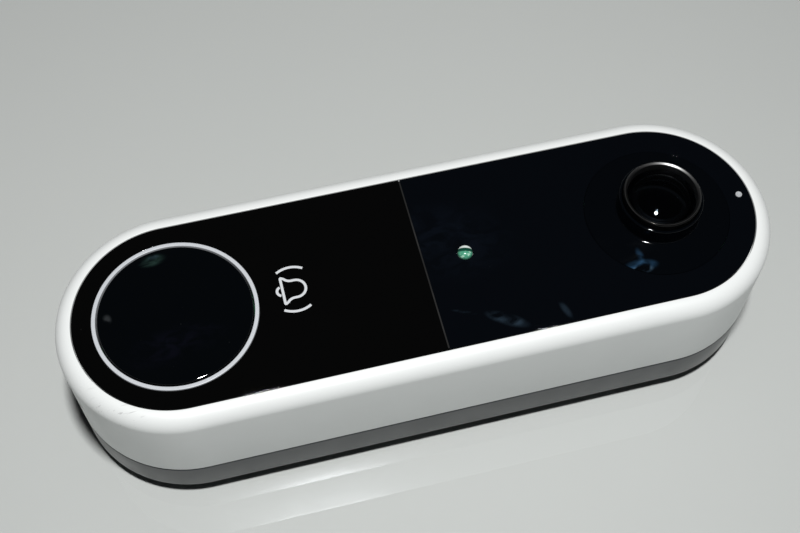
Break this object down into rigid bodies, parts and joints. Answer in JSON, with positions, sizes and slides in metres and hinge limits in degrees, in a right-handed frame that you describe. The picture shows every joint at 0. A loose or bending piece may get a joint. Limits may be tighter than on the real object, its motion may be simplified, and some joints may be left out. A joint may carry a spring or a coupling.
{
  "type": "video doorbell",
  "caption": "Capsule-shaped battery video doorbell with a gloss face, camera on a low raised disc, sprung round button in a light ring, and a latched wall plate it swings off.",
  "frame": {"origin": "centre of the wall plate's back face, which is the bottom centre of the whole box", "axes": "+X along the doorbell towards the camera end (up when it hangs on a wall), +Y across it, +Z out of the wall through the face"},
  "size_m": [0.1436, 0.0466, 0.0365],
  "materials": {
    "white_shell": "fine satin white",
    "gloss_black": "piano black",
    "gloss_blue_black": "piano black with a slight blue cast",
    "dark_plastic": "dark grey satin",
    "inner_plastic": "black, lightly textured",
    "light_grey": "light grey translucent",
    "clear_window": "clear polished",
    "lens_glass": "coated lens glass",
    "filter_glass": "pink filter glass",
    "silicone": "matt silicone",
    "foam_rubber": "soft black rubber",
    "board": "green solder mask",
    "chip": "black moulded",
    "steel": "bright zinc plated",
    "contact_gold": "gold plated",
    "battery_wrap": "blue grey film",
    "speaker_paper": "matt film"
  },
  "bodies": {
    "wall_plate": {"mounting_plate": "dark_plastic", "latch_spring": "steel"},
    "latch": {"release_latch": "inner_plastic"},
    "doorbell": {"front_shell": "white_shell", "lower_fascia": "gloss_black", "upper_fascia": "gloss_blue_black", "camera_bezel": "gloss_black", "lens_ring": "gloss_black", "lens_cover": "clear_window", "lens_trim_ring": "steel", "lens_barrel": "chip", "lens_front_element": "lens_glass", "lens_rear_element": "lens_glass", "ir_filter": "filter_glass", "lens_holder": "inner_plastic", "image_sensor": "chip", "upper_board": "board", "sensor_lens": "clear_window", "light_sensor": "chip", "microphone_port": "light_grey", "microphone": "steel", "button_light_ring": "light_grey", "button_pad": "silicone", "switch_base": "chip", "button_board": "board", "chassis": "inner_plastic", "main_board": "board", "shield_can": "steel", "wifi_antenna": "contact_gold", "board_connector": "chip", "button_connector": "chip", "battery_pack": "battery_wrap", "speaker_frame": "inner_plastic", "speaker_cone": "speaker_paper", "speaker_magnet": "steel", "speaker_duct": "foam_rubber", "rear_cover": "dark_plastic", "seal_ring": "silicone", "ir_led_1": "chip", "battery_contact_1": "contact_gold", "terminal_screw_1": "steel", "terminal_lug_1": "contact_gold", "ir_led_2": "chip", "battery_contact_2": "contact_gold", "terminal_screw_2": "steel", "terminal_lug_2": "contact_gold", "ring_led_1": "light_grey", "chassis_screw_1": "steel", "cover_screw_1": "steel", "ring_led_2": "light_grey", "chassis_screw_2": "steel", "cover_screw_2": "steel", "ring_led_3": "light_grey", "chassis_screw_3": "steel", "cover_screw_3": "steel", "ring_led_4": "light_grey", "chassis_screw_4": "steel", "cover_screw_4": "steel"},
    "button": {"button_cap": "gloss_black"},
    "switch": {"switch_plunger": "light_grey"}
  },
  "joints": [
    {"name": "doorbell_tilt", "type": "hinge", "parent": "wall_plate", "child": "doorbell", "pos_m": [0.0718, 0, 0.00815], "axis": [0, 1, 0], "range_deg": [0, 12], "deforming": ["release_latch"]},
    {"name": "button_press", "type": "slide", "parent": "doorbell", "child": "button", "axis": [0, 0, -1], "range_m": [0, 0.0006], "stiffness_N_per_m": 1500, "springref_m": -0.0005, "deforming": ["button_pad"]},
    {"name": "switch_press", "type": "slide", "parent": "doorbell", "child": "switch", "axis": [0, 0, -1], "range_m": [0, 0.0006]},
    {"name": "latch_release", "type": "slide", "parent": "wall_plate", "child": "latch", "axis": [1, 0, 0], "range_m": [0, 0.0012], "stiffness_N_per_m": 600, "springref_m": -0.0005, "deforming": ["latch_spring"]}
  ],
  "couplings": [
    {"joint": "switch_press", "follows": "button_press", "ratio": 1}
  ]
}
